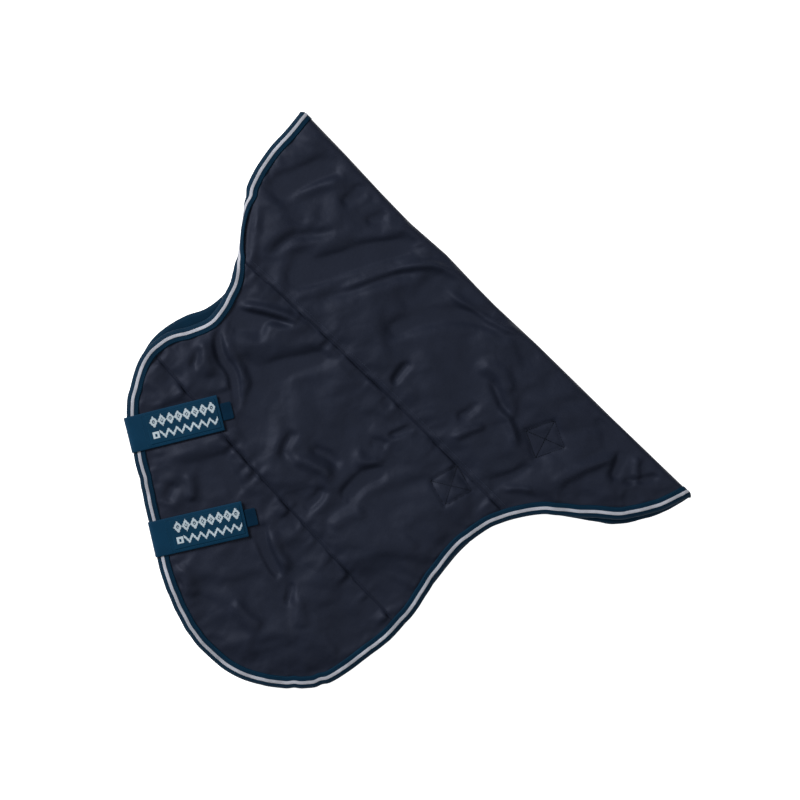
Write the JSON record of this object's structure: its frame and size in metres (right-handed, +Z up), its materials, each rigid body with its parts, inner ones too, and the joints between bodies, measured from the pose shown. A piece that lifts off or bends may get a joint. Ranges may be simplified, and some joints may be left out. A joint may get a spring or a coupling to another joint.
{
  "type": "turnout rug",
  "caption": "Padded neck hood of a turnout rug, folded along its crest and laid flat, with front straps that close it.",
  "frame": {"origin": "middle of the base, on the surface that the folded hood lies on", "axes": "+X along the crest from the poll to the withers, +Y from the chest lobe to the crest, +Z up, out of the near half"},
  "size_m": [0.854, 0.7072, 0.0261],
  "materials": {
    "shell_cloth": "woven nylon with a soft waterproof sheen",
    "batting": "white polyester batting",
    "lining_cloth": "smooth polyester taffeta",
    "binding_tape": "ribbed polyester binding tape",
    "stripe_tape": "silver twill weave",
    "webbing": "woven webbing with a slight sheen",
    "hook_loop": "hook and loop tape",
    "label_cloth": "jacquard woven label"
  },
  "bodies": {
    "far_half": {"far_crest_panel": "shell_cloth", "far_neck_panel": "shell_cloth", "far_chest_panel": "shell_cloth", "far_fill": "batting", "far_lining": "lining_cloth", "far_binding": "binding_tape", "far_silver_stripe": "stripe_tape", "far_upper_rug_tab": "webbing", "far_lower_rug_tab": "webbing", "crest_fold_strip": "shell_cloth", "upper_strap_base": "webbing", "lower_strap_base": "webbing"},
    "near_half": {"near_crest_panel": "shell_cloth", "near_neck_panel": "shell_cloth", "near_chest_panel": "shell_cloth", "near_fill": "batting", "near_lining": "lining_cloth", "near_binding": "binding_tape", "near_silver_stripe": "stripe_tape", "near_upper_rug_tab": "webbing", "near_lower_rug_tab": "webbing", "upper_loop_patch": "hook_loop", "lower_loop_patch": "hook_loop"},
    "upper_strap": {"upper_strap_flap": "webbing", "upper_hook_tape": "hook_loop", "upper_woven_label": "label_cloth"},
    "lower_strap": {"lower_strap_flap": "webbing", "lower_hook_tape": "hook_loop", "lower_woven_label": "label_cloth"},
    "upper_tab": {"upper_pull_tab": "webbing"},
    "lower_tab": {"lower_pull_tab": "webbing"}
  },
  "joints": [
    {"name": "crest_fold", "type": "hinge", "parent": "far_half", "child": "near_half", "pos_m": [0, 0.34358, 0.0114], "axis": [-1, 0, 0], "range_deg": [0, 179.9], "deforming": ["crest_fold_strip"]},
    {"name": "upper_strap_hinge", "type": "hinge", "parent": "far_half", "child": "upper_strap", "pos_m": [-0.2643, -0.1977, 0.02385], "axis": [0.8537, -0.5208, 0], "range_deg": [0, 175]},
    {"name": "lower_strap_hinge", "type": "hinge", "parent": "far_half", "child": "lower_strap", "pos_m": [-0.12436, -0.2868, 0.02385], "axis": [0.8439, -0.5365, 0], "range_deg": [0, 175]},
    {"name": "upper_tab_hinge", "type": "hinge", "parent": "upper_strap", "child": "upper_tab", "pos_m": [-0.18618, -0.06965, 0.02385], "axis": [0.8537, -0.5208, 0], "range_deg": [0, 60]},
    {"name": "lower_tab_hinge", "type": "hinge", "parent": "lower_strap", "child": "lower_tab", "pos_m": [-0.04389, -0.16021, 0.02385], "axis": [0.8439, -0.5365, 0], "range_deg": [0, 60]}
  ]
}
